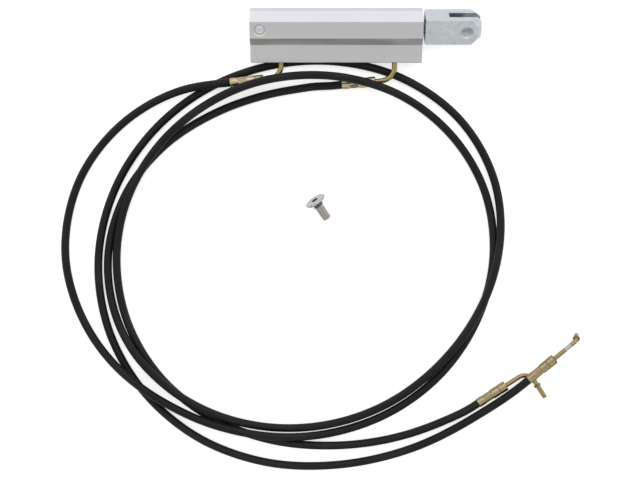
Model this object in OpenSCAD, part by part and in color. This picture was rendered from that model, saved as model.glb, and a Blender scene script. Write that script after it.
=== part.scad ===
// Small double-acting hydraulic cylinder with two hoses and its loose pivot screw.
// Millimetres, +Z up. The parts lie on the floor at z = 0: the barrel leans on its lower edge over a
// strand of hose, and the two hoses lie in one loose coil.

/* [Barrel] */
// Length of the barrel
barrel_length = 132; // [110:1:170]
// Barrel width across its flats
barrel_flats = 27; // [26:0.5:33]
// Leg of the barrel's corner chamfers
barrel_chamfer = 7.2; // [6:0.1:7.5]
// Diameter of the bore
bore_d = 20; // [16:0.5:22]
// Lean of the barrel as it lies
barrel_roll = 18; // [10:1:22]

/* [Port rail] */
// Reach of the rail from the bore's axis
rail_reach = 26.4; // [24:0.1:32]
// Height of the rail's upper face over the bore's axis
rail_top = 7.3; // [7.3:0.1:8.5]
// Thickness of the rail
rail_thickness = 9; // [8:0.1:11]
// Chamfer along the rail's lower outer edge
rail_chamfer = 3; // [1:0.1:3.2]
// Distance of the rear port from the barrel's rear end
rear_port_in = 23.5; // [22.5:0.1:26]
// Distance of the front port from the barrel's front end
front_port_in = 20.8; // [20:0.1:23]

/* [Rod and piston] */
// Diameter of the piston rod
rod_d = 10; // [8:0.5:11]
// Working stroke
stroke = 70; // [30:1:71]
// Length of the piston
piston_length = 12; // [11:0.5:14]

/* [Clevis] */
// Width of the square clevis
clevis_width = 20; // [18:0.5:24]
// Length of the clevis
clevis_length = 42.8; // [40:0.1:52]
// Width of the fork slot
slot_width = 6.6; // [5:0.1:8]
// Depth of the fork slot
slot_depth = 24.5; // [20:0.1:26]
// Distance of the pivot hole from the clevis tip
pin_in = 11; // [10:0.1:13]
// Turn of the clevis about the rod, from upright
clevis_roll = 35; // [0:1:90]

/* [Pivot screw] */
// Diameter of the screw's flanged head
screw_head_d = 16.8; // [14:0.1:20]
// Diameter of the threaded collar
screw_thread_d = 7.8; // [7:0.1:9]
// Diameter of the plain shank
screw_shank_d = 6.8; // [6:0.1:7]
// Length of the whole screw
screw_length = 18; // [16:0.1:24]

/* [Hoses and tubes] */
// Outer diameter of the hoses
hose_d = 6.3; // [5.5:0.1:6.4]
// Outer diameter of the port tubes
port_tube_d = 4; // [3.6:0.1:4.2]
// Outer diameter of the end tubes
end_tube_d = 3.6; // [3.2:0.1:4]
// Length of a crimped ferrule
ferrule_length = 26; // [24:0.5:30]
// Largest diameter of a ferrule, at its tube collar
ferrule_d = 8; // [7.6:0.1:8.4]
// Length of a spigot beyond its bead
spigot_length = 11.4; // [8:0.1:12]

/* [Hidden] */

// Clearances
press_gap = 0.02;      // parts pressed or screwed together
seat_gap = 0.05;       // parts that sit in a groove
running_gap = 0.04;    // rod and piston in their bores
seal_gap = 0.02;       // seals on the faces they slide on
lap = 0.1;             // how far a straight tube reaches into its bends
thinning = 0.02;       // how much thinner a tube's wall is in its bends
past = 1;              // how far a cutter passes a face

// Colours
aluminium = [0.78, 0.79, 0.80];
zinc = [0.72, 0.77, 0.78];
steel = [0.66, 0.65, 0.63];
chrome = [0.80, 0.81, 0.83];
chromate = [0.70, 0.63, 0.40];
rubber = [0.10, 0.10, 0.11];
seal_red = [0.45, 0.16, 0.12];
bronze = [0.66, 0.50, 0.30];

// Barrel section, from its axis
half = barrel_flats / 2;
face_half = half - barrel_chamfer;
bore_r = bore_d / 2;
barrel_at = [-80, 68, half * cos(barrel_roll) + face_half * sin(barrel_roll)];
rail_root = half + face_half - rail_top;
rail_edge = 0.5;

// Stations along the bore, from the barrel's rear end
cap_recess = 0.6;
cap_end = rear_port_in - 3.9;
nut_gap = 0.6;
nut_thickness = 5;
piston_rear = cap_end + nut_gap + nut_thickness;
piston_front = piston_rear + piston_length;
ring_width = 1;
ring_from_end = 2;
gland_front = barrel_length - ring_from_end;
gland_rear = barrel_length - front_port_in + 2.2;
stop_gap = 0.3;
gland_nose = piston_front + stroke + stop_gap;
clevis_gap = 1.9;
clevis_rear = barrel_length + clevis_gap;
front_port = barrel_length - front_port_in;

// Rear cap and its lock plug
cap_groove = [cap_end - 6, 2.4];
groove_r = bore_r - 1.8;
plug_x = 7.6;
plug_r = 3.6;
plug_foot = half - 8.3;
plug_sink = 0.35;
countersink_r = 4.65;

// Rod, its threads and the rod gland
rod_r = rod_d / 2;
spigot_r = rod_r - 1.5;
nut_thread_r = rod_r - 2;
clevis_thread_r = rod_r - 1;
clevis_thread_length = 13;
nut_flats = 2 * nut_thread_r + 4;
gland_nose_r = rod_r + 2;
lip_seal_r = rod_r + 2.5;
seal_x = gland_rear + 3.6;
seal_width = 4;
gland_groove = [gland_rear + 9.6, 2.4];
wiper_r = rod_r + 2;
wiper_depth = 3.4;
wiper_lip_r = rod_r + 0.45;
wiper_lip = 1.6;
ring_groove_r = bore_r + 0.9;

// Piston grooves
seal_groove = [piston_rear + 3, 3];
guide_groove = [piston_rear + 7.4, 3];
seal_groove_r = bore_r - 2.5;
guide_groove_r = bore_r - 1.1;

// Port seats, from the rail's outer face inwards
port_z = rail_top - 3.3;
seat_r = 2.6;
sleeve_length = 4;
bead_length = 1;
nose_r = 1.6;
nose_length = 3.4;
seat_depth = 8.6;
passage_r = 1.2;
oring_in = 6.3;
oring_cord_r = 0.45;

// Port tubes: a bend that levels them, then a swing to the hose
tube_stub = 0.5;
level_r = 6;
swing_r = 11;
tube_bore_r = 0.8;
nipple_r = 1.4;
rear_swing = 85;
rear_pitch = 1;
rear_run = [0.1, 3.8];
front_swing = 85;
front_pitch = -7;
front_run = [1.2, 4.8];

// Ferrules, from the hose mouth to the tube end
ferrule_r = ferrule_d / 2;
ferrule_wall = 0.5;
mouth_r = 3.6;
crimp_r = 3.25;
ring_r = 3.75;
hose_r = hose_d / 2;
root_r = crimp_r - ferrule_wall;
hose_in = ferrule_length - 4.5;
nipple_end = 2.5;

// End tubes and their spigots
bead_r = 2.85;
bead_width = 1.8;
bead_round = 0.5;
spigot_chamfer = 0.4;
rear_mouth = [99, -226.5, 4];
rear_heading = [33, 0];
rear_end_bend = [12, 9, 90, 180, 4.6];
front_mouth = [138, -206.5, 10.2];
front_heading = [42.5, 10];
front_end_bend = [17, 5.5, 86, 267, 1];

// Pivot screw
screw_at = [-21, -79.5];
screw_turn = 124;
head_rim = 1.5;
head_cone = 1.3;
collar_length = 3;
screw_edge = 0.5;
socket_flats = 5;
socket_depth = 2.4;
pin_hole_r = screw_shank_d / 2 + 0.1;
thread_hole_r = screw_thread_d / 2 + seat_gap;
hole_chamfer = 1.1;

// Clevis tip, turned to a cone
tip_r = 7.9;
tip_cone = 7.4;
base_cone = 1;

// Hose routes: bearing from the coil's centre in degrees, reach and height of the hose's middle in mm
coil_at = [-42, -111];
lead = 8;
ring_step = 17.5;
hose_sides = 8;
rear_route = [
    [125, 160, 7], [140, 172.5, 3.2], [160, 183.5, 3.2], [180, 185, 3.2], [200, 176, 4.6],
    [210, 168.5, 9], [220, 161, 10.2], [230, 154.5, 9.8], [240, 149.5, 10], [250, 145.5, 10],
    [260, 143, 9.6], [280, 141.5, 3.8], [300, 142, 3.2], [320, 144.5, 3.2], [340, 148, 3.2],
    [360, 152, 3.2], [380, 154, 3.2], [400, 152.5, 3.2], [410, 150.8, 5.2], [420, 148.4, 11.6],
    [428, 146.2, 15.4], [436, 144.4, 16], [450, 141.8, 16.8], [462, 140.5, 18.2], [480, 140, 12], [500, 140.8, 10], [510, 141.5, 10],
    [520, 142.5, 9.2], [540, 144.5, 4.6], [560, 145.8, 3.2], [580, 146, 3.2], [600, 145.7, 3.2],
    [620, 147, 3.2], [640, 152, 3.2], [660, 163.5, 3.2], [671, 172.5, 3.6]
];
front_route = [
    [86, 134.3, 3.4], [90, 132.6, 3.2], [100, 130.5, 3.2], [120, 131.5, 3.2], [140, 138, 3.2], [160, 146, 3.2],
    [180, 151.5, 3.2], [200, 152.4, 5.2], [210, 150.3, 8.6], [220, 147, 10], [230, 144, 10],
    [240, 141, 9.2], [260, 137, 3.6], [280, 134.5, 3.2], [300, 135, 3.4], [320, 137.7, 6.6],
    [340, 144.5, 9.8], [350, 149.5, 10], [360, 154.5, 9.6], [370, 159.5, 7], [380, 163.5, 4],
    [400, 165.5, 3.2], [420, 161.7, 3.2], [440, 156, 3.2], [460, 152, 3.2], [480, 151, 3.2],
    [500, 152.2, 3.2], [520, 155.3, 3.2], [540, 159, 3.2], [560, 161.9, 3.2], [580, 163.6, 3.2],
    [600, 164.8, 3.2], [620, 165.4, 3.2], [640, 167.8, 3.2], [660, 175.6, 3.8], [680, 189.2, 7.4]
];

// Fineness
$fn = 64;
hull_fn = 32;

// ---- Places worked out from the sizes above ----

function heading(turn, pitch) = [cos(pitch) * cos(turn), cos(pitch) * sin(turn), sin(pitch)];

function coil_point(p) = [
    coil_at.x + p[1] * cos(p[0]),
    coil_at.y + p[1] * sin(p[0]),
    p[2]
];

// A point of the barrel's own frame, as it lies on the floor
function from_barrel(p) = barrel_at + [
    p.x,
    p.y * cos(barrel_roll) - p.z * sin(barrel_roll),
    p.y * sin(barrel_roll) + p.z * cos(barrel_roll)
];

// Sideways direction of a swing of so many degrees that ends at the given pitch
function swing_side(swing, pitch) =
    let (tilt = sin(pitch) / sin(swing)) [-sqrt(1 - tilt * tilt), 0, tilt];

function port_heading(swing, pitch) = [0, -cos(swing), 0] + sin(swing) * swing_side(swing, pitch);

// Where a port tube's ferrule opens for the hose
function port_mouth(x, swing, pitch, run) =
    from_barrel([x, -rail_reach, port_z])
    + tube_stub * [0, -cos(barrel_roll), -sin(barrel_roll)]
    + level_r * [0, -sin(barrel_roll), cos(barrel_roll) - 1]
    + [0, -run[0], 0]
    + swing_r * ([0, -sin(swing), 0] + (1 - cos(swing)) * swing_side(swing, pitch))
    + (run[1] + ferrule_length) * port_heading(swing, pitch);

rear_port_mouth = port_mouth(rear_port_in, rear_swing, rear_pitch, rear_run);
front_port_mouth = port_mouth(front_port, front_swing, front_pitch, front_run);

// ---- Smooth hose curve through its points ----

function gaps_along(p) = [for (i = [0:len(p) - 2]) norm(p[i + 1] - p[i])];

function slopes_along(p, d) = [
    for (i = [0:len(p) - 1])
        i == 0 ? (p[1] - p[0]) / d[0]
        : i == len(p) - 1 ? (p[i] - p[i - 1]) / d[i - 1]
        : ((p[i] - p[i - 1]) * d[i] / d[i - 1] + (p[i + 1] - p[i]) * d[i - 1] / d[i])
          / (d[i - 1] + d[i])
];

function between(a, b, slope_a, slope_b, t) =
    (2 * t * t * t - 3 * t * t + 1) * a + (t * t * t - 2 * t * t + t) * slope_a
    + (3 * t * t - 2 * t * t * t) * b + (t * t * t - t * t) * slope_b;

function on_floor(p) = [p.x, p.y, max(p.z, hose_r)];

function hose_curve(p) =
    let (d = gaps_along(p), m = slopes_along(p, d))
    [
        for (i = [0:len(p) - 2])
            let (steps = max(1, round(d[i] / ring_step)))
            for (j = [0:steps - 1])
                on_floor(between(p[i], p[i + 1], d[i] * m[i], d[i] * m[i + 1], j / steps)),
        p[len(p) - 1]
    ];

function hose_points(start, start_way, route, finish, finish_way) = concat(
    [start, start + lead * start_way],
    [for (p = route) coil_point(p)],
    [finish - lead * finish_way, finish]
);

function reach_to_run(p, a, b) =
    let (run = b - a, t = max(0, min(1, (p - a) * run / (run * run))))
    norm(p - a - t * run);

// Least gap between runs of one hose that are more than a few rings apart
function least_gap(c, apart = 5) = min([
    for (i = [0:len(c) - 1])
        for (j = [i + apart:1:len(c) - 2])
            reach_to_run(c[i], c[j], c[j + 1])
]) - hose_d;

function sum_of(list, i = 0) = i == len(list) ? 0 : list[i] + sum_of(list, i + 1);

rear_curve = hose_curve(hose_points(
    rear_port_mouth, port_heading(rear_swing, rear_pitch), rear_route,
    rear_mouth, heading(rear_heading[0], rear_heading[1])
));
front_curve = hose_curve(hose_points(
    front_port_mouth, port_heading(front_swing, front_pitch), front_route,
    front_mouth, heading(front_heading[0], front_heading[1])
));

// ---- Helpers ----

module on_barrel() {
    translate(barrel_at) rotate([barrel_roll, 0, 0]) children();
}

// A turned piece about the X axis, from [station, radius] points
module turned(profile) {
    rotate([90, 0, 90]) rotate_extrude() polygon([for (p = profile) [p[1], p[0]]]);
}

module ring(x, width, outer, inner) {
    turned([[x, inner], [x + width, inner], [x + width, outer], [x, outer]]);
}

module rod(x, length, r) {
    translate([x, 0, 0]) rotate([0, 90, 0]) cylinder(h = length, r = r);
}

module oring(x, ring_r, cord_r) {
    translate([x, 0, 0]) rotate([0, 90, 0]) rotate_extrude() translate([ring_r, 0])
        circle(r = cord_r, $fn = hull_fn);
}

// O-ring between a closure's groove and the bore
module closure_oring(x) {
    oring(x, (bore_r + groove_r) / 2, (bore_r - groove_r) / 2 - seal_gap);
}

// A bored length of tube along X, from the [station, radius] points of its outside
module pipe(outside) {
    last = outside[len(outside) - 1];
    turned(concat([[outside[0][0], tube_bore_r]], outside, [[last[0], tube_bore_r]]));
}

// Straight tube along X, with what follows at its end
module straight(length, r) {
    pipe([[-lap, r], [length + lap, r]]);
    translate([length, 0, 0]) children();
}

// Bent tube, turning by the given angle to the side that side_turn points to
module elbow(bend_r, angle, side_turn, r) {
    rotate([side_turn, 0, 0]) {
        translate([0, bend_r, 0]) rotate([0, 0, -90]) rotate_extrude(angle = angle)
            translate([bend_r, 0]) difference() {
                circle(r = r - thinning);
                circle(r = tube_bore_r + thinning);
            }
        translate([bend_r * sin(angle), bend_r * (1 - cos(angle)), 0]) rotate([0, 0, angle])
            rotate([-side_turn, 0, 0]) children();
    }
}

// Puts X along a direction
module aim(at, way) {
    translate(at) rotate([0, -asin(way.z), atan2(way.y, way.x)]) children();
}

module hose_tube(c) {
    last = len(c) - 1;
    ways = [for (i = [0:last]) c[min(i + 1, last)] - c[max(i - 1, 0)]];
    corners = [
        for (i = [0:last])
            let (
                way = ways[i] / norm(ways[i]),
                side = cross(way, [0, 0, 1]) / norm(cross(way, [0, 0, 1])),
                up = cross(side, way)
            )
            for (k = [0:hose_sides - 1])
                let (a = 360 * k / hose_sides)
                c[i] + hose_r * (cos(a) * side + sin(a) * up)
    ];
    walls = [
        for (i = [0:last - 1])
            for (k = [0:hose_sides - 1])
                let (
                    n = (k + 1) % hose_sides,
                    a = i * hose_sides,
                    b = a + hose_sides
                )
                for (face = [[a + k, b + k, b + n], [a + k, b + n, a + n]])
                    face
    ];
    first_cap = [for (k = [1:hose_sides - 2]) [0, k, k + 1]];
    far = last * hose_sides;
    last_cap = [for (k = [1:hose_sides - 2]) [far, far + k + 1, far + k]];
    polyhedron(points = corners, faces = concat(first_cap, walls, last_cap));
}

// ---- Barrel and its closures ----

module barrel_section() {
    polygon([
        [half, face_half], [face_half, half], [-face_half, half], [-half, face_half],
        [-half, -face_half], [-face_half, -half], [face_half, -half], [half, -face_half]
    ]);
    polygon([
        [0, rail_top], [-rail_reach + rail_edge, rail_top], [-rail_reach, rail_top - rail_edge],
        [-rail_reach, rail_top - rail_thickness + rail_chamfer],
        [-rail_reach + rail_chamfer, rail_top - rail_thickness], [0, rail_top - rail_thickness]
    ]);
}

module port_drilling(x) {
    translate([x, 0, port_z]) rotate([0, 0, -90]) {
        rod(rail_reach - seat_depth, seat_depth + past, seat_r);
        rod(0, rail_reach, passage_r);
    }
}

module barrel() {
    color(aluminium) on_barrel() difference() {
        rotate([90, 0, 90]) linear_extrude(barrel_length) barrel_section();
        rod(-past, barrel_length + 2 * past, bore_r);
        ring(gland_front, ring_width + 0.2, ring_groove_r, bore_r - past);
        port_drilling(rear_port_in);
        port_drilling(front_port);
        translate([plug_x, 0, 0]) cylinder(h = half + past, r = plug_r + press_gap);
        translate([plug_x, 0, half - countersink_r + plug_r])
            cylinder(h = countersink_r - plug_r + past, r1 = plug_r, r2 = countersink_r + past);
    }
}

module rear_cap() {
    color(aluminium) on_barrel() difference() {
        rod(cap_recess, cap_end - cap_recess, bore_r - press_gap);
        ring(cap_groove[0], cap_groove[1], bore_r + past, groove_r);
        translate([plug_x, 0, plug_foot - press_gap]) cylinder(h = half, r = plug_r + press_gap);
    }
}

module rear_cap_oring() {
    color(rubber) on_barrel()
        closure_oring(cap_groove[0] + cap_groove[1] / 2);
}

module cap_lock_plug() {
    color(aluminium) on_barrel() translate([plug_x, 0, 0]) rotate_extrude() polygon([
        [0, plug_foot], [plug_r, plug_foot], [plug_r, half - plug_sink - 0.5],
        [plug_r - 0.4, half - plug_sink - 0.15], [0, half - plug_sink]
    ]);
}

module rod_gland() {
    color(bronze) on_barrel() difference() {
        turned([
            [gland_nose, rod_r + running_gap], [gland_front, rod_r + running_gap],
            [gland_front, bore_r - press_gap], [gland_rear, bore_r - press_gap],
            [gland_rear, gland_nose_r], [gland_nose, gland_nose_r]
        ]);
        ring(seal_x, seal_width, lip_seal_r, rod_r - past);
        ring(gland_groove[0], gland_groove[1], bore_r + past, groove_r);
        ring(gland_front - wiper_depth, wiper_depth + past, wiper_r, rod_r - past);
    }
}

module gland_oring() {
    color(rubber) on_barrel()
        closure_oring(gland_groove[0] + gland_groove[1] / 2);
}

module gland_retaining_ring() {
    color(steel) on_barrel() difference() {
        ring(gland_front + seat_gap, ring_width, ring_groove_r - seat_gap, bore_r - 1.8);
        translate([gland_front, -1.5, 0]) cube([2 * ring_width, 3, bore_r + 2]);
    }
}

module rod_seal() {
    color(seal_red) on_barrel()
        ring(seal_x + seat_gap, seal_width - 2 * seat_gap, lip_seal_r - seat_gap, rod_r + seal_gap);
}

module rod_wiper() {
    start = gland_front - wiper_depth + seat_gap;
    color(rubber) on_barrel() turned([
        [start, rod_r + seal_gap], [barrel_length + wiper_lip, rod_r + seal_gap],
        [barrel_length + wiper_lip, wiper_lip_r], [gland_front, rod_r + 1],
        [gland_front, wiper_r - seat_gap], [start, wiper_r - seat_gap]
    ]);
}

// ---- Piston and rod ----

module piston() {
    color(aluminium) on_barrel() difference() {
        ring(piston_rear, piston_length, bore_r - running_gap, spigot_r + press_gap);
        ring(seal_groove[0], seal_groove[1], bore_r + past, seal_groove_r);
        ring(guide_groove[0], guide_groove[1], bore_r + past, guide_groove_r);
    }
}

module piston_seal() {
    color(seal_red) on_barrel() ring(
        seal_groove[0] + seat_gap, seal_groove[1] - 2 * seat_gap, bore_r - seal_gap,
        seal_groove_r + seat_gap
    );
}

module piston_guide_ring() {
    color(rubber) on_barrel() ring(
        guide_groove[0] + seat_gap, guide_groove[1] - 2 * seat_gap, bore_r - seal_gap,
        guide_groove_r + seat_gap
    );
}

module piston_nut() {
    color(zinc) on_barrel() difference() {
        translate([piston_rear - nut_thickness, 0, 0]) rotate([0, 90, 0])
            cylinder(h = nut_thickness, r = nut_flats / 2 / cos(30), $fn = 6);
        rod(piston_rear - nut_thickness - past, nut_thickness + 2 * past, nut_thread_r + press_gap);
    }
}

module piston_rod() {
    nut_rear = piston_rear - nut_thickness;
    thread_end = clevis_rear + clevis_thread_length;
    color(chrome) on_barrel() turned([
        [nut_rear, 0], [nut_rear, nut_thread_r], [piston_rear, nut_thread_r],
        [piston_rear, spigot_r], [piston_front, spigot_r], [piston_front, rod_r],
        [clevis_rear, rod_r], [clevis_rear, clevis_thread_r], [thread_end, clevis_thread_r],
        [thread_end, 0]
    ]);
}

module clevis() {
    wide = clevis_width / 2;
    corner = wide * sqrt(2);
    tip = clevis_rear + clevis_length;
    color(zinc) translate(barrel_at) rotate([clevis_roll, 0, 0]) difference() {
        intersection() {
            translate([clevis_rear, -wide, -wide]) cube([clevis_length, clevis_width, clevis_width]);
            turned([
                [clevis_rear, 0], [clevis_rear, corner - base_cone], [clevis_rear + base_cone, corner],
                [clevis_rear + base_cone, corner + 1], [tip - tip_cone - 1, corner + 1],
                [tip - tip_cone, corner], [tip, tip_r], [tip, 0]
            ]);
        }
        rod(clevis_rear - past, clevis_thread_length + seat_gap + past, clevis_thread_r + press_gap);
        translate([tip - slot_depth, -clevis_width, -slot_width / 2])
            cube([slot_depth + past, 2 * clevis_width, slot_width]);
        translate([tip - pin_in, 0, 0]) {
            cylinder(h = clevis_width, r = thread_hole_r);
            mirror([0, 0, 1]) cylinder(h = clevis_width, r = pin_hole_r);
            translate([0, 0, wide - hole_chamfer])
                cylinder(h = 2 * hole_chamfer, r1 = thread_hole_r, r2 = thread_hole_r + 2 * hole_chamfer);
        }
    }
}

// ---- Ports ----

module at_port(x) {
    on_barrel() translate([x, -rail_reach, port_z]) rotate([0, 0, -90]) children();
}

// A tube that swings from its port in the rail round to its ferrule
module port_tube(x, swing, pitch, run_lengths) {
    tube = port_tube_d / 2;
    bead = -sleeve_length - bead_length;
    into_ferrule = run_lengths[1] + ferrule_length;
    side_turn = 180 - asin(sin(pitch) / sin(swing));
    at_port(x) {
        pipe([
            [bead - nose_length, nose_r], [bead, nose_r], [bead, seat_r - seat_gap],
            [-sleeve_length - seat_gap, seat_r - seat_gap], [-sleeve_length - seat_gap, tube],
            [tube_stub + lap, tube]
        ]);
        translate([tube_stub, 0, 0]) elbow(level_r, barrel_roll, 90, tube)
            straight(run_lengths[0], tube) elbow(swing_r, swing, side_turn, tube)
            pipe([
                [-lap, tube], [into_ferrule - hose_in, tube], [into_ferrule - hose_in, nipple_r],
                [into_ferrule - nipple_end, nipple_r]
            ]);
    }
}

module port_oring(x) {
    at_port(x) oring(-oring_in, nose_r + (seat_r - nose_r) / 2, oring_cord_r);
}

module port_sleeve(x) {
    at_port(x) ring(
        -sleeve_length + seat_gap, sleeve_length - seat_gap, seat_r - press_gap,
        port_tube_d / 2 + press_gap
    );
}

// ---- Ferrules and hose ends; X runs from the hose mouth to the tube end ----

module ferrule(tube_d) {
    collar = ferrule_length - 5.3;
    turned([
        [0, root_r + press_gap], [hose_in, root_r + press_gap], [hose_in, tube_d / 2 + press_gap],
        [ferrule_length, tube_d / 2 + press_gap], [ferrule_length, ferrule_r - 0.3],
        [ferrule_length - 0.3, ferrule_r], [collar, ferrule_r], [collar, ring_r - 0.25],
        [collar - 0.5, ring_r - 0.25], [collar - 0.5, ring_r], [collar - 7.2, ring_r],
        [collar - 8, crimp_r], [6.4, crimp_r], [5.6, mouth_r], [0.2, mouth_r], [0, mouth_r - 0.2]
    ]);
}

module hose_end() {
    ring(0, hose_in - seat_gap, root_r, nipple_r + press_gap);
}

// A tube from its ferrule round a bend to its bead and spigot
module end_tube(bend_of) {
    tube = end_tube_d / 2;
    bead = bend_of[4];
    tip = bead + spigot_length;
    pipe([
        [nipple_end, nipple_r], [hose_in, nipple_r], [hose_in, tube],
        [ferrule_length + bend_of[0] + lap, tube]
    ]);
    translate([ferrule_length + bend_of[0], 0, 0]) elbow(bend_of[1], bend_of[2], bend_of[3], tube)
        pipe([
            [-lap, tube], [bead - bead_width / 2, tube], [bead - bead_width / 2, bead_r - bead_round],
            [bead - bead_width / 2 + bead_round, bead_r],
            [bead + bead_width / 2 - bead_round, bead_r],
            [bead + bead_width / 2, bead_r - bead_round], [bead + bead_width / 2, tube],
            [tip - spigot_chamfer, tube], [tip, tube - spigot_chamfer]
        ]);
}

module at_rear_port_mouth() {
    aim(rear_port_mouth, -port_heading(rear_swing, rear_pitch)) children();
}

module at_front_port_mouth() {
    aim(front_port_mouth, -port_heading(front_swing, front_pitch)) children();
}

module at_rear_mouth() {
    aim(rear_mouth, heading(rear_heading[0], rear_heading[1])) children();
}

module at_front_mouth() {
    aim(front_mouth, heading(front_heading[0], front_heading[1])) children();
}

// ---- Hoses ----

module hose(c, name) {
    echo(str(name, ": length ", sum_of(gaps_along(c)), ", least gap to itself ", least_gap(c)));
    hose_tube(c);
}

// ---- Pivot screw, lying on its head's rim and its shank's end ----

module pivot_screw() {
    head_r = screw_head_d / 2;
    shank_r = screw_shank_d / 2;
    thread_r = screw_thread_d / 2;
    rim = screw_length - head_rim;
    lean = atan((head_r - shank_r) / (rim - screw_edge));
    end_height = shank_r * cos(lean) - screw_edge * sin(lean);
    color(steel) translate([screw_at.x, screw_at.y, end_height]) rotate([0, -lean, screw_turn])
        difference() {
            turned([
                [0, 0], [0, shank_r - screw_edge], [screw_edge, shank_r],
                [rim - head_cone - collar_length, shank_r],
                [rim - head_cone - collar_length, thread_r - 0.3],
                [rim - head_cone - collar_length + 0.3, thread_r],
                [rim - head_cone, thread_r], [rim, head_r], [screw_length - 0.4, head_r],
                [screw_length, head_r - 0.4], [screw_length, 0]
            ]);
            translate([screw_length - socket_depth, 0, 0]) rotate([0, 90, 0])
                cylinder(h = socket_depth + past, r = socket_flats / 2 / cos(30), $fn = 6);
        }
}

// ---- Ports, ferrules, tubes and hoses by name ----

module rear_port_tube() {
    color(chromate) port_tube(rear_port_in, rear_swing, rear_pitch, rear_run);
}

module rear_port_oring() {
    color(rubber) port_oring(rear_port_in);
}

module rear_port_sleeve() {
    color(zinc) port_sleeve(rear_port_in);
}

module rear_ferrule() {
    color(chromate) at_rear_port_mouth() ferrule(port_tube_d);
}

module rear_hose_root() {
    color(rubber) at_rear_port_mouth() hose_end();
}

module front_port_tube() {
    color(chromate) port_tube(front_port, front_swing, front_pitch, front_run);
}

module front_port_oring() {
    color(rubber) port_oring(front_port);
}

module front_port_sleeve() {
    color(zinc) port_sleeve(front_port);
}

module front_ferrule() {
    color(chromate) at_front_port_mouth() ferrule(port_tube_d);
}

module front_hose_root() {
    color(rubber) at_front_port_mouth() hose_end();
}

module rear_hose() {
    color(rubber) hose(rear_curve, "rear_hose");
}

module rear_hose_tip() {
    color(rubber) at_rear_mouth() hose_end();
}

module rear_end_ferrule() {
    color(chromate) at_rear_mouth() ferrule(end_tube_d);
}

module rear_end_tube() {
    color(chromate) at_rear_mouth() end_tube(rear_end_bend);
}

module front_hose() {
    color(rubber) hose(front_curve, "front_hose");
}

module front_hose_tip() {
    color(rubber) at_front_mouth() hose_end();
}

module front_end_ferrule() {
    color(chromate) at_front_mouth() ferrule(end_tube_d);
}

module front_end_tube() {
    color(chromate) at_front_mouth() end_tube(front_end_bend);
}

barrel();
rear_cap();
rear_cap_oring();
cap_lock_plug();
rod_gland();
gland_oring();
gland_retaining_ring();
rod_seal();
rod_wiper();
piston();
piston_seal();
piston_guide_ring();
piston_nut();
piston_rod();
clevis();
rear_port_tube();
rear_port_oring();
rear_port_sleeve();
rear_ferrule();
rear_hose_root();
front_port_tube();
front_port_oring();
front_port_sleeve();
front_ferrule();
front_hose_root();
rear_hose();
rear_hose_tip();
rear_end_ferrule();
rear_end_tube();
front_hose();
front_hose_tip();
front_end_ferrule();
front_end_tube();
pivot_screw();
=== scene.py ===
"""Small double-acting hydraulic cylinder with two long hoses and its loose pivot screw.

The barrel leans on its lower edge over a strand of hose, and both hoses lie in one loose coil.
Sizes are in metres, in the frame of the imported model: +X along the rod, +Y towards the barrel,
+Z up.
"""
from math import asin, cos, pi, radians, sin, sqrt

import bmesh
import bpy
from mathutils import Matrix, Vector


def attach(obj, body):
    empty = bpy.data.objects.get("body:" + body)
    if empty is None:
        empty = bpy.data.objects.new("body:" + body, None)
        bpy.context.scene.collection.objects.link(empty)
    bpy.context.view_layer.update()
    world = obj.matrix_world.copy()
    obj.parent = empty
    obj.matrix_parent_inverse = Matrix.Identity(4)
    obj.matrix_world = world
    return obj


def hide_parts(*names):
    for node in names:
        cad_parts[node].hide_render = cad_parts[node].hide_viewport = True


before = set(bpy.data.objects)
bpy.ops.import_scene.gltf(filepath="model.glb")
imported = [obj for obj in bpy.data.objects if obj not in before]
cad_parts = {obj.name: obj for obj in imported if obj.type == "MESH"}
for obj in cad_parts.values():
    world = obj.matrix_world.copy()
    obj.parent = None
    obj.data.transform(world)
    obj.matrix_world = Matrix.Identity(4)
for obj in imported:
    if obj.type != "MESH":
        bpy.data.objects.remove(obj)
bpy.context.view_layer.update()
MM = 0.001


def shift(x, y=0.0, z=0.0):
    return Matrix.Translation((x, y, z))


def spin(axis, angle):
    return Matrix.Rotation(angle, 4, axis)


# ---- Sizes of the real thing, as in the solid model ----

BARREL_LENGTH = 132 * MM
BARREL_HALF = 13.5 * MM
BARREL_CHAMFER = 7.2 * MM
BARREL_ROLL = radians(18)
BARREL_FACE = BARREL_HALF - BARREL_CHAMFER
BARREL_AT = Vector((
    -80 * MM, 68 * MM, BARREL_HALF * cos(BARREL_ROLL) + BARREL_FACE * sin(BARREL_ROLL)
))
RAIL_REACH = 26.4 * MM
PORT_HEIGHT = 4 * MM

CLEVIS_REAR = BARREL_LENGTH + 1.9 * MM
CLEVIS_LENGTH = 42.8 * MM
CLEVIS_ROLL = radians(35)
PIN_FROM_TIP = 11 * MM
FORK_THREAD_R = 3.95 * MM
FORK_EAR = (3.3 * MM, 8.9 * MM)
FORK_HALF = 10 * MM
SLOT_DEPTH = 24.5 * MM

HOSE_R = 3.15 * MM
PORT_TUBE_R = 2 * MM
END_TUBE_R = 1.8 * MM
TUBE_BORE_R = 0.8 * MM
NIPPLE_R = 1.4 * MM
FERRULE_LENGTH = 26 * MM
FERRULE_R = 4 * MM
HOSE_IN = FERRULE_LENGTH - 4.5 * MM
BEAD_R = 2.85 * MM
BEAD_WIDTH = 1.8 * MM
SPIGOT_LENGTH = 11.4 * MM

TUBE_STUB = 0.5 * MM
LEVEL_R = 6 * MM
SWING_R = 11 * MM


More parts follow.
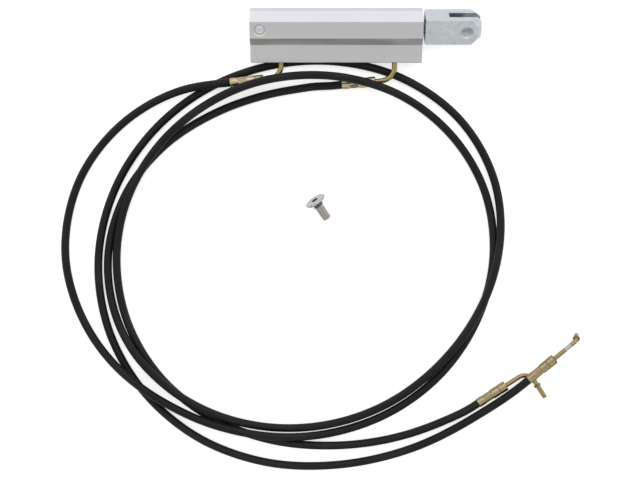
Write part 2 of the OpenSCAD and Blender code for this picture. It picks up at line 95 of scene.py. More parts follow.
class Port:
    """One hose connection on the rail: where its tube starts and how it swings to the hose."""

    def __init__(self, station, swing, pitch, level_run, hose_run):
        self.station = station
        self.swing = radians(swing)
        self.pitch = radians(pitch)
        self.level_run = level_run
        self.hose_run = hose_run
        tilt = sin(self.pitch) / sin(self.swing)
        self.lean = asin(tilt)
        self.side = Vector((-sqrt(1 - tilt * tilt), 0, tilt))
        self.heading = Vector((0, -cos(self.swing), 0)) + sin(self.swing) * self.side

    def mouth(self):
        """Middle of the ferrule's open end, where the hose comes out."""
        roll = BARREL_ROLL
        outlet = BARREL_AT + Matrix.Rotation(roll, 3, "X") @ Vector(
            (self.station, -RAIL_REACH, PORT_HEIGHT)
        )
        return (
            outlet
            + TUBE_STUB * Vector((0, -cos(roll), -sin(roll)))
            + LEVEL_R * Vector((0, -sin(roll), cos(roll) - 1))
            + Vector((0, -self.level_run, 0))
            + SWING_R * (Vector((0, -sin(self.swing), 0)) + (1 - cos(self.swing)) * self.side)
            + (self.hose_run + FERRULE_LENGTH) * self.heading
        )


class HoseEnd:
    """The free end of a hose: its ferrule's mouth and heading, and the tube bent on beyond it."""

    def __init__(self, mouth, turn, pitch, straight, bend_r, bend, side_turn, to_bead):
        self.mouth = Vector(mouth)
        turn, pitch = radians(turn), radians(pitch)
        self.heading = Vector((cos(pitch) * cos(turn), cos(pitch) * sin(turn), sin(pitch)))
        self.straight = straight
        self.bend_r = bend_r
        self.bend = radians(bend)
        self.side_turn = radians(side_turn)
        self.to_bead = to_bead


REAR_PORT = Port(23.5 * MM, 85, 1, 0.1 * MM, 3.8 * MM)
FRONT_PORT = Port(BARREL_LENGTH - 20.8 * MM, 85, -7, 1.2 * MM, 4.8 * MM)
REAR_END = HoseEnd((0.099, -0.2265, 0.004), 33, 0, 12 * MM, 9 * MM, 90, 180, 4.6 * MM)
FRONT_END = HoseEnd((0.138, -0.2065, 0.0102), 42.5, 10, 17 * MM, 5.5 * MM, 86, 267, 1 * MM)


# ---- Camera ----

CAMERA_AT = Vector((-26.5, -41.1, 914.7)) * MM
CAMERA_TILT = radians(-3.5)
FIELD_WIDTH = 640 / 1160  # metres in view for each metre of distance


def hold(name, data, at, turn):
    """Puts a camera or a lamp into the scene."""
    holder = bpy.data.objects.new(name, data)
    holder.location, holder.rotation_euler = at, turn
    bpy.context.scene.collection.objects.link(holder)
    return holder


def set_camera():
    """Looks almost straight down on the coil."""
    camera = bpy.data.cameras.new("camera")
    camera.sensor_width = 36
    camera.lens = camera.sensor_width / FIELD_WIDTH
    camera.clip_start = 0.05
    bpy.context.scene.camera = hold("camera", camera, CAMERA_AT, (CAMERA_TILT, 0, 0))


set_camera()


# ---- Hoses ----

# Each point is a bearing from the coil's middle in degrees, and a reach and a height in
# millimetres. The height is left out where the hose lies on the floor.
COIL_AT = Vector((-0.042, -0.111))
ON_FLOOR = 3.2
LEAD = 8 * MM
REAR_ROUTE = [
    (125, 160, 7), (140, 172.5), (160, 183.5), (180, 185), (200, 176, 4.6), (210, 168.5, 9),
    (220, 161, 10.2), (230, 154.5, 9.8), (240, 149.5, 10), (250, 145.5, 10), (260, 143, 9.6),
    (280, 141.5, 3.8), (300, 142), (320, 144.5), (340, 148), (360, 152), (380, 154), (400, 152.5),
    (410, 150.8, 5.2), (420, 148.4, 11.6), (428, 146.2, 15.4), (436, 144.4, 16),
    (450, 141.8, 16.8), (462, 140.5, 18.2), (480, 140, 12), (500, 140.8, 10), (510, 141.5, 10),
    (520, 142.5, 9.2), (540, 144.5, 4.6), (560, 145.8), (580, 146), (600, 145.7), (620, 147),
    (640, 152), (660, 163.5), (671, 172.5, 3.6),
]
FRONT_ROUTE = [
    (86, 134.3, 3.4), (90, 132.6), (100, 130.5), (120, 131.5), (140, 138), (160, 146),
    (180, 151.5), (200, 152.4, 5.2), (210, 150.3, 8.6), (220, 147, 10), (230, 144, 10),
    (240, 141, 9.2), (260, 137, 3.6), (280, 134.5), (300, 135, 3.4), (320, 137.7, 6.6),
    (340, 144.5, 9.8), (350, 149.5, 10), (360, 154.5, 9.6), (370, 159.5, 7), (380, 163.5, 4),
    (400, 165.5), (420, 161.7), (440, 156), (460, 152), (480, 151), (500, 152.2), (520, 155.3),
    (540, 159), (560, 161.9), (580, 163.6), (600, 164.8), (620, 165.4), (640, 167.8),
    (660, 175.6, 3.8), (680, 189.2, 7.4),
]


def coil_point(bearing, reach, height=ON_FLOOR):
    bearing, reach = radians(bearing), reach * MM
    return Vector((COIL_AT.x + reach * cos(bearing), COIL_AT.y + reach * sin(bearing), height * MM))


def hose_points(port, route, end):
    start = port.mouth()
    return (
        [start, start + LEAD * port.heading]
        + [coil_point(*p) for p in route]
        + [end.mouth - LEAD * end.heading, end.mouth]
    )


def smooth_path(points, step):
    """Points about a step apart on the smooth curve through the given ones, above the floor."""
    gaps = [(b - a).length for a, b in zip(points, points[1:])]
    slopes = [(points[1] - points[0]) / gaps[0]]
    for i in range(1, len(points) - 1):
        ahead, behind = gaps[i], gaps[i - 1]
        slopes.append(
            ((points[i] - points[i - 1]) * ahead / behind
             + (points[i + 1] - points[i]) * behind / ahead) / (ahead + behind)
        )
    slopes.append((points[-1] - points[-2]) / gaps[-1])
    path = []
    for i, gap in enumerate(gaps):
        steps = max(1, round(gap / step))
        for t in (j / steps for j in range(steps)):
            point = (
                (2 * t**3 - 3 * t**2 + 1) * points[i]
                + (t**3 - 2 * t**2 + t) * gap * slopes[i]
                + (3 * t**2 - 2 * t**3) * points[i + 1]
                + (t**3 - t**2) * gap * slopes[i + 1]
            )
            point.z = max(point.z, HOSE_R)
            path.append(point)
    path.append(points[-1].copy())
    return path


def add_piece(name, mesh, material=None):
    """Puts a finished mesh into the scene, at the origin."""
    piece = bpy.data.objects.new(name, mesh)
    bpy.context.scene.collection.objects.link(piece)
    if material:
        mesh.materials.clear()
        mesh.materials.append(material)
    return piece


def tube_mesh(name, path, radius, sides):
    """A round tube along a path, closed at both ends, with a UV map in metres along and round."""
    build = bmesh.new()
    uv_map = build.loops.layers.uv.new("UVMap")
    last = len(path) - 1
    rings, along = [], [0.0]
    for a, b in zip(path, path[1:]):
        along.append(along[-1] + (b - a).length)
    for i, point in enumerate(path):
        way = (path[min(i + 1, last)] - path[max(i - 1, 0)]).normalized()
        side = way.cross(Vector((0, 0, 1))).normalized()
        up = side.cross(way)
        rings.append([
            build.verts.new(point + radius * (cos(a) * side + sin(a) * up))
            for a in (2 * pi * k / sides for k in range(sides))
        ])
    for i in range(last):
        for k in range(sides):
            n = (k + 1) % sides
            face = build.faces.new((rings[i][k], rings[i + 1][k], rings[i + 1][n], rings[i][n]))
            face.smooth = True
            turns = (k / sides, k / sides, (k + 1) / sides, (k + 1) / sides)
            runs = (along[i], along[i + 1], along[i + 1], along[i])
            for loop, turn, run in zip(face.loops, turns, runs):
                loop[uv_map].uv = (run, turn * 2 * pi * radius)
    build.faces.new(rings[0])
    build.faces.new(list(reversed(rings[-1])))
    bmesh.ops.recalc_face_normals(build, faces=build.faces)
    mesh = bpy.data.meshes.new(name)
    build.to_mesh(mesh)
    build.free()
    return mesh


HOSE_SIDES = 28
HOSE_STEP = 3 * MM
ROUTES = {
    "rear": (REAR_PORT, REAR_ROUTE, REAR_END),
    "front": (FRONT_PORT, FRONT_ROUTE, FRONT_END),
}
hoses = {}
for side, (port, route, end) in ROUTES.items():
    path = smooth_path(hose_points(port, route, end), HOSE_STEP)
    hoses[side] = (
        add_piece(f"{side}_hose_sheath", tube_mesh(f"{side}_hose", path, HOSE_R, HOSE_SIDES)),
        path,
    )


# ---- Shader building ----

def linear(*channels):
    """Scene colour from display values between 0 and 255."""
    def one(c):
        c /= 255
        return c / 12.92 if c <= 0.04045 else ((c + 0.055) / 1.055) ** 2.4
    return tuple(one(c) for c in channels) + (1.0,)


def feed(tree, socket, value):
    if isinstance(value, bpy.types.NodeSocket):
        tree.links.new(value, socket)
    else:
        socket.default_value = value


def add_node(tree, kind, inputs=None, **settings):
    """A new node with its settings, and its inputs fed by name or number."""
    node = tree.nodes.new(kind)
    for name, value in settings.items():
        setattr(node, name, value)
    for key, value in (inputs or {}).items():
        feed(tree, node.inputs[key], value)
    return node


def output_of(tree, kind, inputs=None, **settings):
    """The first output of a new node."""
    return add_node(tree, kind, inputs, **settings).outputs[0]


def math_node(tree, operation, a, b=0.0, c=0.0, clamp=False):
    return output_of(
        tree, "ShaderNodeMath", {0: a, 1: b, 2: c}, operation=operation, use_clamp=clamp
    )


def times(tree, a, b, clamp=False):
    return math_node(tree, "MULTIPLY", a, b, clamp=clamp)


def vector_of(tree, x=0.0, y=0.0, z=0.0):
    return output_of(tree, "ShaderNodeCombineXYZ", {0: x, 1: y, 2: z})


def mix_colours(tree, factor, a, b, blend="MIX"):
    node = add_node(
        tree, "ShaderNodeMix", {0: factor, 6: a, 7: b}, data_type="RGBA", blend_type=blend
    )
    return node.outputs[2]


def overlaid(tree, colour, *layers):
    """A colour under layers that are each a mask and a colour in display values."""
    for mask, over in layers:
        colour = mix_colours(tree, mask, colour, linear(*over))
    return colour


def ramp(tree, value, *stops):
    """Steps of grey or colour, from stops that are each a place and a level or three."""
    node = tree.nodes.new("ShaderNodeValToRGB")
    elements = node.color_ramp.elements
    while len(elements) < len(stops):
        elements.new(0.5)
    for element, (place, *levels) in zip(elements, stops):
        element.position = place
        element.color = (*(levels * 3)[:3], 1)
    feed(tree, node.inputs[0], value)
    return node.outputs[0]


def noise(tree, place, scale, detail=3.0, roughness=0.5):
    return output_of(
        tree, "ShaderNodeTexNoise",
        {"Vector": place, "Scale": scale, "Detail": detail, "Roughness": roughness},
    )


def range_of(tree, value, low, high, start=0.0, end=1.0):
    return output_of(
        tree, "ShaderNodeMapRange",
        {"Value": value, "From Min": start, "From Max": end, "To Min": low, "To Max": high},
    )


def soft_step(tree, value, zero_at, one_at):
    """0 at one value, 1 at the other, and straight between them."""
    return range_of(tree, value, 0.0, 1.0, zero_at, one_at)


def spread(tree, value, low=0.0, high=1.0):
    """From low to high over the middle of a noise, where most of it lies."""
    return range_of(tree, value, low, high, 0.3, 0.7)


def new_group(name, inputs, outputs, tree_kind="ShaderNodeTree"):
    """An empty group, from the types of its inputs and outputs by name."""
    tree = bpy.data.node_groups.new(name, tree_kind)
    for way, sockets in (("INPUT", inputs), ("OUTPUT", outputs)):
        for title, kind in sockets.items():
            tree.interface.new_socket(title, in_out=way, socket_type=kind)
    return tree, tree.nodes.new("NodeGroupInput").outputs, tree.nodes.new("NodeGroupOutput").inputs


def give(tree, out, **values):
    """Feeds a group's outputs by name, and returns the group."""
    for name, value in values.items():
        feed(tree, out[name], value)
    return tree


NUMBER, COLOUR, VECTOR = "NodeSocketFloat", "NodeSocketColor", "NodeSocketVector"


def mottle_group():
    """Cloudy patches of two tints over a base colour, with fine grain, as plating has."""
    tree, given, out = new_group(
        "mottle",
        {"Place": VECTOR, "Base": COLOUR, "Tint A": COLOUR, "Tint B": COLOUR,
         "Patch Scale": NUMBER, "Grain Scale": NUMBER},
        {"Color": COLOUR, "Patches": NUMBER, "Grain": NUMBER},
    )
    broad = noise(tree, given["Place"], given["Patch Scale"], 4.0, 0.6)
    elsewhere = output_of(tree, "ShaderNodeVectorMath", {0: given["Place"], 1: (0.37, 0.11, 0.23)})
    other = noise(tree, elsewhere, given["Patch Scale"], 3.0, 0.55)
    grain = noise(tree, given["Place"], given["Grain Scale"], 2.0, 0.6)
    patch_a = ramp(tree, broad, (0.42, 0), (0.62, 1))
    patch_b = ramp(tree, other, (0.48, 0), (0.66, 1))
    colour = mix_colours(tree, patch_a, given["Base"], given["Tint A"])
    colour = mix_colours(tree, patch_b, colour, given["Tint B"])
    shade = ramp(tree, grain, (0.2, 0.86), (0.8, 1))
    colour = mix_colours(tree, 1.0, colour, shade, "MULTIPLY")
    return give(tree, out, Color=colour, Patches=broad, Grain=grain)


def drawn_lines_group():
    """Fine lines along one direction, as an extruded, ground or turned surface has."""
    tree, given, out = new_group(
        "drawn_lines", {"Place": VECTOR, "Stretch": VECTOR, "Scale": NUMBER},
        {"Height": NUMBER, "Streaks": NUMBER},
    )
    drawn = output_of(
        tree, "ShaderNodeVectorMath", {0: given["Place"], 1: given["Stretch"]},
        operation="MULTIPLY",
    )
    fine = noise(tree, drawn, given["Scale"], 2.0, 0.6)
    wide = noise(tree, drawn, times(tree, given["Scale"], 0.17), 2.0)
    height = math_node(tree, "MULTIPLY_ADD", wide, 0.6, fine)
    return give(tree, out, Height=height, Streaks=wide)


def specks_group():
    """Sparse small spots, as dust, pits and dents leave on a handled part."""
    tree, given, out = new_group(
        "specks", {"Place": VECTOR, "Scale": NUMBER, "Size": NUMBER}, {"Mask": NUMBER}
    )
    cells = add_node(
        tree, "ShaderNodeTexVoronoi", {"Vector": given["Place"], "Scale": given["Scale"]}
    )
    chosen = output_of(tree, "ShaderNodeSeparateColor", {0: cells.outputs["Color"]})
    rare = math_node(tree, "GREATER_THAN", chosen, 0.86)
    near = soft_step(tree, cells.outputs["Distance"], given["Size"], 0.0)
    return give(tree, out, Mask=times(tree, near, rare, clamp=True))


def skin_group():
    """Soft pebbled skin of a rubber or plastic sheath, with dust lying on it."""
    tree, given, out = new_group(
        "skin", {"Place": VECTOR, "Scale": NUMBER, "Base": COLOUR, "Dust": COLOUR},
        {"Color": COLOUR, "Height": NUMBER, "Roughness": NUMBER},
    )
    pebble = noise(tree, given["Place"], given["Scale"], 3.0, 0.65)
    cloud = noise(tree, given["Place"], times(tree, given["Scale"], 0.05), 4.0)
    dust = ramp(tree, cloud, (0.45, 0), (0.75, 1))
    colour = mix_colours(tree, dust, given["Base"], given["Dust"])
    rough = range_of(tree, cloud, 0.37, 0.52)
    return give(tree, out, Color=colour, Height=pebble, Roughness=rough)


def wear_and_shade_group():
    """Painted shade in grooves, creases and bores, and metal rubbed bare, from a piece's two
    attributes.
    """
    tree, given, out = new_group(
        "wear_and_shade", {"Place": VECTOR, "Color": COLOUR, "Grime": COLOUR, "Bare": COLOUR},
        {"Color": COLOUR, "Rubbed": NUMBER, "Dirt": NUMBER},
    )
    ragged = noise(tree, given["Place"], 1100.0, 3.0, 0.6)
    either_way = math_node(tree, "SUBTRACT", ragged, 0.5)
    masks = []
    for name in ("bare", "painted_shade"):
        mark = add_node(tree, "ShaderNodeAttribute", attribute_name=name).outputs["Fac"]
        torn = math_node(tree, "MULTIPLY_ADD", either_way, 1.3, mark)
        masks.append(times(tree, soft_step(tree, torn, 0.15, 0.85), mark, clamp=True))
    rubbed_and_highlight, crease_shade = masks
    colour = mix_colours(tree, rubbed_and_highlight, given["Color"], given["Bare"])
    colour = mix_colours(tree, crease_shade, colour, given["Grime"])
    return give(tree, out, Color=colour, Rubbed=rubbed_and_highlight, Dirt=crease_shade)


MOTTLE, DRAWN_LINES, SPECKS, SKIN, WEAR_AND_SHADE = (
    mottle_group(), drawn_lines_group(), specks_group(), skin_group(), wear_and_shade_group()
)


def use_group(tree, group, **inputs):
    node = tree.nodes.new("ShaderNodeGroup")
    node.node_tree = group
    for name, value in inputs.items():
        feed(tree, node.inputs[name.replace("_", " ")], value)
    return node.outputs


def new_material(name):
    """A material with its Principled shader, and object coordinates to place patterns by."""
    material = bpy.data.materials.new(name)
    material.use_nodes = True
    tree = material.node_tree
    shader = tree.nodes["Principled BSDF"]
    place = tree.nodes.new("ShaderNodeTexCoord").outputs["Object"]
    return material, tree, shader, place


def mottled(tree, place, colours, patch_scale, grain_scale):
    """The mottle of a base colour and two tints, given in display values."""
    base, tint_a, tint_b = (linear(*colour) for colour in colours)
    return use_group(
        tree, MOTTLE, Place=place, Base=base, Tint_A=tint_a, Tint_B=tint_b,
        Patch_Scale=patch_scale, Grain_Scale=grain_scale,
    )


def surface(tree, shader, colour, rough, metallic):
    """Feeds the shader from sockets, or sets its own where a value is the same all over."""
    for name, value in (("Base Color", colour), ("Roughness", rough), ("Metallic", metallic)):
        feed(tree, shader.inputs[name], value)


def bump(tree, shader, height, strength, distance):
    feed(tree, shader.inputs["Normal"], output_of(
        tree, "ShaderNodeBump", {"Height": height, "Strength": strength, "Distance": distance}
    ))


# ---- Finishes ----

def satin_anodised():
    """The barrel's drawn and satin anodised aluminium."""
    material, tree, shader, place = new_material("satin_anodised")
    lines = use_group(tree, DRAWN_LINES, Place=place, Stretch=(0.012, 1.0, 1.0), Scale=2600.0)
    spots = use_group(tree, SPECKS, Place=place, Scale=95.0, Size=0.045)
    cloud = noise(tree, place, 26.0, 3.0)
    colour = mix_colours(
        tree, spread(tree, lines["Streaks"]), linear(235, 235, 236), linear(240, 240, 241)
    )
    greyer = range_of(tree, cloud, 0, 0.4, 0.4, 0.8)
    colour = overlaid(tree, colour, (greyer, (229, 230, 232)), (spots["Mask"], (120, 118, 114)))
    surface(tree, shader, colour, spread(tree, lines["Streaks"], 0.33, 0.37), 1.0)
    height = math_node(tree, "MULTIPLY_ADD", spots["Mask"], -3.0, lines["Height"])
    bump(tree, shader, height, 0.16, 0.00002)
    return material


def fork_marks(tree, place):
    """Masks on the fork: a painted highlight about its pin, and painted shade in the upper half of
    its slot.
    """
    local = output_of(
        tree, "ShaderNodeMapping",
        {"Vector": place, "Location": BARREL_AT, "Rotation": (CLEVIS_ROLL, 0, 0)},
        vector_type="TEXTURE",
    )
    x, y, z = add_node(tree, "ShaderNodeSeparateXYZ", {0: local}).outputs
    tip = CLEVIS_REAR + CLEVIS_LENGTH
    past_pin = math_node(tree, "SUBTRACT", x, tip - PIN_FROM_TIP)
    from_pin = math_node(tree, "SQRT", math_node(
        tree, "MULTIPLY_ADD", y, y, times(tree, past_pin, past_pin)
    ))
    aside = math_node(tree, "ABSOLUTE", z)
    # Painted highlight: a pale ring about the pin that brightens the shaded hole.
    rubbed_and_highlight = times(
        tree, soft_step(tree, from_pin, 6.4 * MM, 5.0 * MM),
        math_node(tree, "LESS_THAN", aside, FORK_HALF - 1.3 * MM),
    )
    in_slot = times(
        tree, math_node(tree, "LESS_THAN", aside, FORK_EAR[0] + 0.12 * MM),
        math_node(tree, "GREATER_THAN", x, tip - SLOT_DEPTH - 0.2 * MM),
    )
    # Painted shade in the upper half of the slot, thinning towards the tip.
    upper = times(tree, soft_step(tree, y, 1 * MM, 4 * MM), in_slot)
    thinner = range_of(tree, x, 1, 0.35, tip - 15 * MM, tip - 10 * MM)
    return rubbed_and_highlight, times(tree, upper, thinner)


def zinc_plating(name, *colours):
    """Bluish zinc plating with cloudy patches and rubbed spots; painted highlight and shade on the
    fork.
    """
    material, tree, shader, place = new_material(name)
    patches = mottled(tree, place, colours, 230.0, 4200.0)
    spots = use_group(tree, SPECKS, Place=place, Scale=420.0, Size=0.13)
    rubbed_and_highlight, slot_shade = fork_marks(tree, place)
    # The pale ring is a painted highlight and the dark slot colour painted shade; both are less
    # metallic.
    colour = overlaid(
        tree, patches["Color"], (spots["Mask"], (170, 178, 181)), (rubbed_and_highlight, (232, 238, 237)),
        (times(tree, slot_shade, 0.8), (64, 74, 74)),
    )
    duller = math_node(tree, "MAXIMUM", rubbed_and_highlight, slot_shade)
    surface(
        tree, shader, colour, spread(tree, patches["Patches"], 0.27, 0.37),
        range_of(tree, duller, 0.86, 0.45),
    )
    bump(tree, shader, math_node(tree, "ADD", patches["Patches"], patches["Grain"]), 0.18, 0.00004)
    return material


def yellow_chromate(name, *colours):
    """Yellow chromate over zinc: a base colour drifting to pink and green."""
    material, tree, shader, place = new_material(name)
    patches = mottled(tree, place, colours, 210.0, 5200.0)
    stain = ramp(tree, noise(tree, place, 520.0, 4.0, 0.7), (0.54, 0), (0.7, 0.75))
    colour = overlaid(tree, patches["Color"], (stain, (138, 118, 78)))
    # Shadow is the colour of painted shade in grooves, creases and the bore.
    worn_and_shaded = use_group(
        tree, WEAR_AND_SHADE, Place=place, Color=colour, Grime=linear(58, 46, 26), Bare=linear(200, 200, 196)
    )
    plain = math_node(tree, "MAXIMUM", worn_and_shaded["Dirt"], worn_and_shaded["Rubbed"])
    surface(
        tree, shader, worn_and_shaded["Color"], spread(tree, patches["Patches"], 0.14, 0.25),
        range_of(tree, plain, 1.0, 0.35),
    )
    shader.inputs["Specular Tint"].default_value = linear(108, 94, 56)
    bump(tree, shader, math_node(tree, "ADD", patches["Patches"], patches["Grain"]), 0.16, 0.00004)
    return material


def turned_stainless():
    """The screw's slightly dull stainless steel."""
    material, tree, shader, place = new_material("turned_stainless")
    colours = (224, 223, 224), (212, 209, 205), (232, 232, 233)
    patches = mottled(tree, place, colours, 260.0, 5200.0)
    # Shadow is the colour of painted shade in the thread's roots and the socket.
    worn_and_shaded = use_group(
        tree, WEAR_AND_SHADE, Place=place, Color=patches["Color"], Grime=linear(84, 74, 40),
        Bare=linear(194, 188, 176),
    )
    surface(
        tree, shader, worn_and_shaded["Color"], spread(tree, patches["Patches"], 0.18, 0.3),
        range_of(tree, worn_and_shaded["Dirt"], 1.0, 0.35),
    )
    bump(tree, shader, patches["Grain"], 0.15, 0.00003)
    return material


TURNED_RINGS = {"across": 0.15, "fineness": 2400.0, "strength": 0.2, "depth": 0.00002}
GROUND_RINGS = {"across": 0.05, "fineness": 5200.0, "strength": 0.08, "depth": 0.00001}


def ringed_metal(name, tone, other_tone, rough, rings=TURNED_RINGS):
    """Turned or ground metal: fine rings, between two tones and two roughnesses."""
    material, tree, shader, place = new_material(name)
    lines = use_group(
        tree, DRAWN_LINES, Place=place, Stretch=(1.0, rings["across"], rings["across"]),
        Scale=rings["fineness"],
    )
    colour = mix_colours(tree, spread(tree, lines["Streaks"]), linear(*tone), linear(*other_tone))
    surface(tree, shader, colour, spread(tree, lines["Streaks"], *rough), 1.0)
    bump(tree, shader, lines["Height"], rings["strength"], rings["depth"])
    return material


def black_rubber(name, base, dust, scale, gloss, along_hose=False):
    """Rubber with a soft pebbled skin; on a hose it follows the hose's length."""
    material, tree, shader, place = new_material(name)
    if along_hose:
        along = output_of(tree, "ShaderNodeUVMap")
        place = output_of(tree, "ShaderNodeMapping", {"Vector": along, "Scale": (0.35, 1, 1)})
    skin = use_group(tree, SKIN, Place=place, Scale=scale, Base=linear(*base), Dust=linear(*dust))
    surface(tree, shader, skin["Color"], skin["Roughness"], 0.0)
    shader.inputs["Specular IOR Level"].default_value = gloss
    bump(tree, shader, skin["Height"], 0.35, 0.00006)
    return material


ANODISED = satin_anodised()
ZINC = zinc_plating("zinc_plating", (232, 240, 241), (225, 232, 239), (237, 245, 243))
# A darker copy of the zinc for the fork's eased edges: painted shade along them.
ZINC_SHADED_EDGE = zinc_plating("zinc_painted_edge_shade", (138, 145, 146), (126, 132, 134), (150, 157, 155))
CHROMATE = yellow_chromate("yellow_chromate", (206, 193, 144), (211, 182, 156), (188, 187, 130))
DEEP_CHROMATE = yellow_chromate("deep_chromate", (197, 179, 122), (204, 170, 130), (184, 182, 120))
# A lighter copy of the chromate for the port ferrules: painted light that lifts them where they lie
# in shade beside the barrel.
LIT_CHROMATE = yellow_chromate("chromate_painted_light", (232, 217, 176), (242, 214, 190), (216, 212, 160))
STAINLESS = turned_stainless()
CHROME = ringed_metal("hard_chrome", (222, 224, 228), (236, 237, 240), (0.08, 0.16), GROUND_RINGS)
TURNED_ALUMINIUM = ringed_metal("turned_aluminium", (214, 216, 218), (192, 194, 197), (0.3, 0.42))
PLUG_METAL = ringed_metal("plug_aluminium", (250, 250, 251), (240, 241, 242), (0.22, 0.34))
BRONZE = ringed_metal("turned_bronze", (205, 170, 112), (176, 140, 84), (0.3, 0.42))
THREAD_STEEL = ringed_metal("thread_steel", (178, 172, 150), (150, 143, 120), (0.25, 0.37))
SPRING_STEEL = ringed_metal("spring_steel", (92, 90, 88), (66, 64, 62), (0.35, 0.47))
HOSE_LOOK = (19, 19, 19), (33, 33, 32), 1500.0, 0.28
SHEATH = black_rubber("hose_sheath", *HOSE_LOOK, along_hose=True)
HOSE_END = black_rubber("hose_end", *HOSE_LOOK)
SEAL_RUBBER = black_rubber("seal_rubber", (20, 20, 21), (34, 34, 34), 3000.0, 0.3)
SEAL_RED = black_rubber("seal_polyurethane", (122, 38, 30), (134, 58, 48), 2500.0, 0.4)


# ---- Mesh building ----

def join_rings(build, rings):
    """Faces from each ring of points to the next; a ring of one point closes a turned piece."""
    for a, b in zip(rings, rings[1:]):
        sides = max(len(a), len(b))
        for k in range(sides):
            n = (k + 1) % sides
            corners = [a[k % len(a)], b[k % len(b)], b[n % len(b)], a[n % len(a)]]
            build.faces.new(list(dict.fromkeys(corners)))


def finished(build, name, sharp=30):
    """The mesh of a bmesh, smooth but for edges over the given angle."""
    bmesh.ops.recalc_face_normals(build, faces=build.faces)
    mesh = bpy.data.meshes.new(name)
    build.to_mesh(mesh)
    build.free()
    mesh.shade_smooth()
    mesh.set_sharp_from_angle(angle=radians(sharp))
    return mesh


def eased(profile, radius):
    """A turned profile with each corner rounded to about the given radius."""
    out = [profile[0]]
    for before, corner, after in zip(profile, profile[1:], profile[2:]):
        corner = Vector(corner)
        back, ahead = Vector(before) - corner, Vector(after) - corner
        cut = min(radius, back.length * 0.45, ahead.length * 0.45)
        a, b = corner + back.normalized() * cut, corner + ahead.normalized() * cut
        out += [a, (a + 2 * corner + b) / 4, b]
    out.append(profile[-1])
    return [tuple(p) for p in out]


def turned(name, profile, frame_at, sides=64, flats=8, shaded_grooves=()):
    """A piece turned about X from (station, radius) points, closed where the radius is 0.

    A third number on a point is its share of flats, from 0, round, to 1, eight-sided. Painted shade
    lies on rings inside the grooves, each a (from, to, amount) along X.
    """
    build = bmesh.new()
    painted_shade = build.verts.layers.float.new("painted_shade")
    rings = []
    for station, radius, *share in profile:
        if radius == 0:
            rings.append([build.verts.new((station, 0, 0))])
            continue
        ring = []
        crease_shade = max([amount for a, b, amount in shaded_grooves if a <= station <= b], default=0.0)
        for k in range(sides):
            angle = 2 * pi * k / sides
            across = (angle + pi / flats) % (2 * pi / flats) - pi / flats
            flat = cos(pi / flats) / cos(across)
            r = radius * (1 + share[0] * (flat - 1)) if share else radius
            ring.append(build.verts.new((station, r * cos(angle), r * sin(angle))))
            ring[-1][painted_shade] = crease_shade
        rings.append(ring)
    if profile[0] == profile[-1]:
        bmesh.ops.delete(build, geom=rings[-1], context="VERTS")
        rings[-1] = rings[0]
    join_rings(build, rings)
    mesh = finished(build, name)
    mesh.transform(frame_at)
    return mesh


def modify(piece, kind, **settings):
    modifier = piece.modifiers.new(kind.lower(), kind)
    for name, value in settings.items():
        setattr(modifier, name, value)
    return modifier


def machined(node, name, edge, *finishes):
    """A copy of a solid model's node, its sharp edges eased and in the last of its finishes."""
    same_point, same_plane, sharp = 1e-6, radians(0.5), radians(28)
    build = bmesh.new()
    build.from_mesh(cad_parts[node].data)
    bmesh.ops.remove_doubles(build, verts=build.verts, dist=same_point)
    bmesh.ops.dissolve_limit(build, angle_limit=same_plane, verts=build.verts, edges=build.edges)
    mesh = bpy.data.meshes.new(name)
    build.to_mesh(mesh)
    build.free()
    for finish in finishes:
        mesh.materials.append(finish)
    piece = add_piece(name, mesh)
    # The eased edges take the last finish; on the fork that is painted shade.
    modify(
        piece, "BEVEL", material=len(finishes) - 1, width=edge, segments=2,
        limit_method="ANGLE", angle_limit=sharp,
    )
    return evened(applied(piece))


def applied(piece):
    """The piece as a plain mesh, with its modifiers' result kept and the modifiers gone."""
    graph = bpy.context.evaluated_depsgraph_get()
    result = bpy.data.meshes.new_from_object(piece.evaluated_get(graph))
    piece.modifiers.clear()
    piece.data = result
    return piece


def evened(piece, sharp=50):
    """Shades the piece by its large faces, so that only its rounded edges bend the light."""
    piece.data.shade_smooth()
    piece.data.set_sharp_from_angle(angle=radians(sharp))
    modify(piece, "WEIGHTED_NORMAL", mode="FACE_AREA", weight=60, keep_sharp=True)
    return applied(piece)


def towards(at, way):
    """Places a piece's X along a direction, as the solid model does."""
    way = way.normalized()
    level = Vector((way.x, way.y, 0))
    turn = level.to_2d().angle_signed(Vector((1, 0))) if level.length > 1e-6 else 0.0
    pitch = asin(max(-1, min(1, way.z)))
    return shift(*at) @ spin("Z", turn) @ spin("Y", -pitch)


ON_BARREL = shift(*BARREL_AT) @ spin("X", BARREL_ROLL)
ON_CLEVIS = shift(*BARREL_AT) @ spin("X", CLEVIS_ROLL)


class Bender:
    """Collects the rings along a tube as it runs straight and bends.

    A ring is its frame, its radius, and how far it is rubbed bare and how deep its painted shade,
    from 0 to 1.
    """

    def __init__(self, start):
        self.frame = start
        self.rings = []

    def ring(self, station, radius, bare=0.0, painted_shade=0.0):
        self.rings.append((self.frame @ shift(station), radius, bare, painted_shade))

    def straight(self, *stations):
        for station in stations:
            self.ring(*station)
        self.frame = self.frame @ shift(stations[-1][0])

    def bend(self, bend_r, angle, side_turn, radius, steps):
        start = self.frame @ spin("X", side_turn)
        for i in range(1, steps + 1):
            a = angle * i / steps
            turned_by = (
                shift(bend_r * sin(a), bend_r * (1 - cos(a)))
                @ spin("Z", a) @ spin("X", -side_turn)
            )
            if i < steps:
                self.rings.append((start @ turned_by, radius, 0.0, 0.0))
        self.frame = start @ turned_by


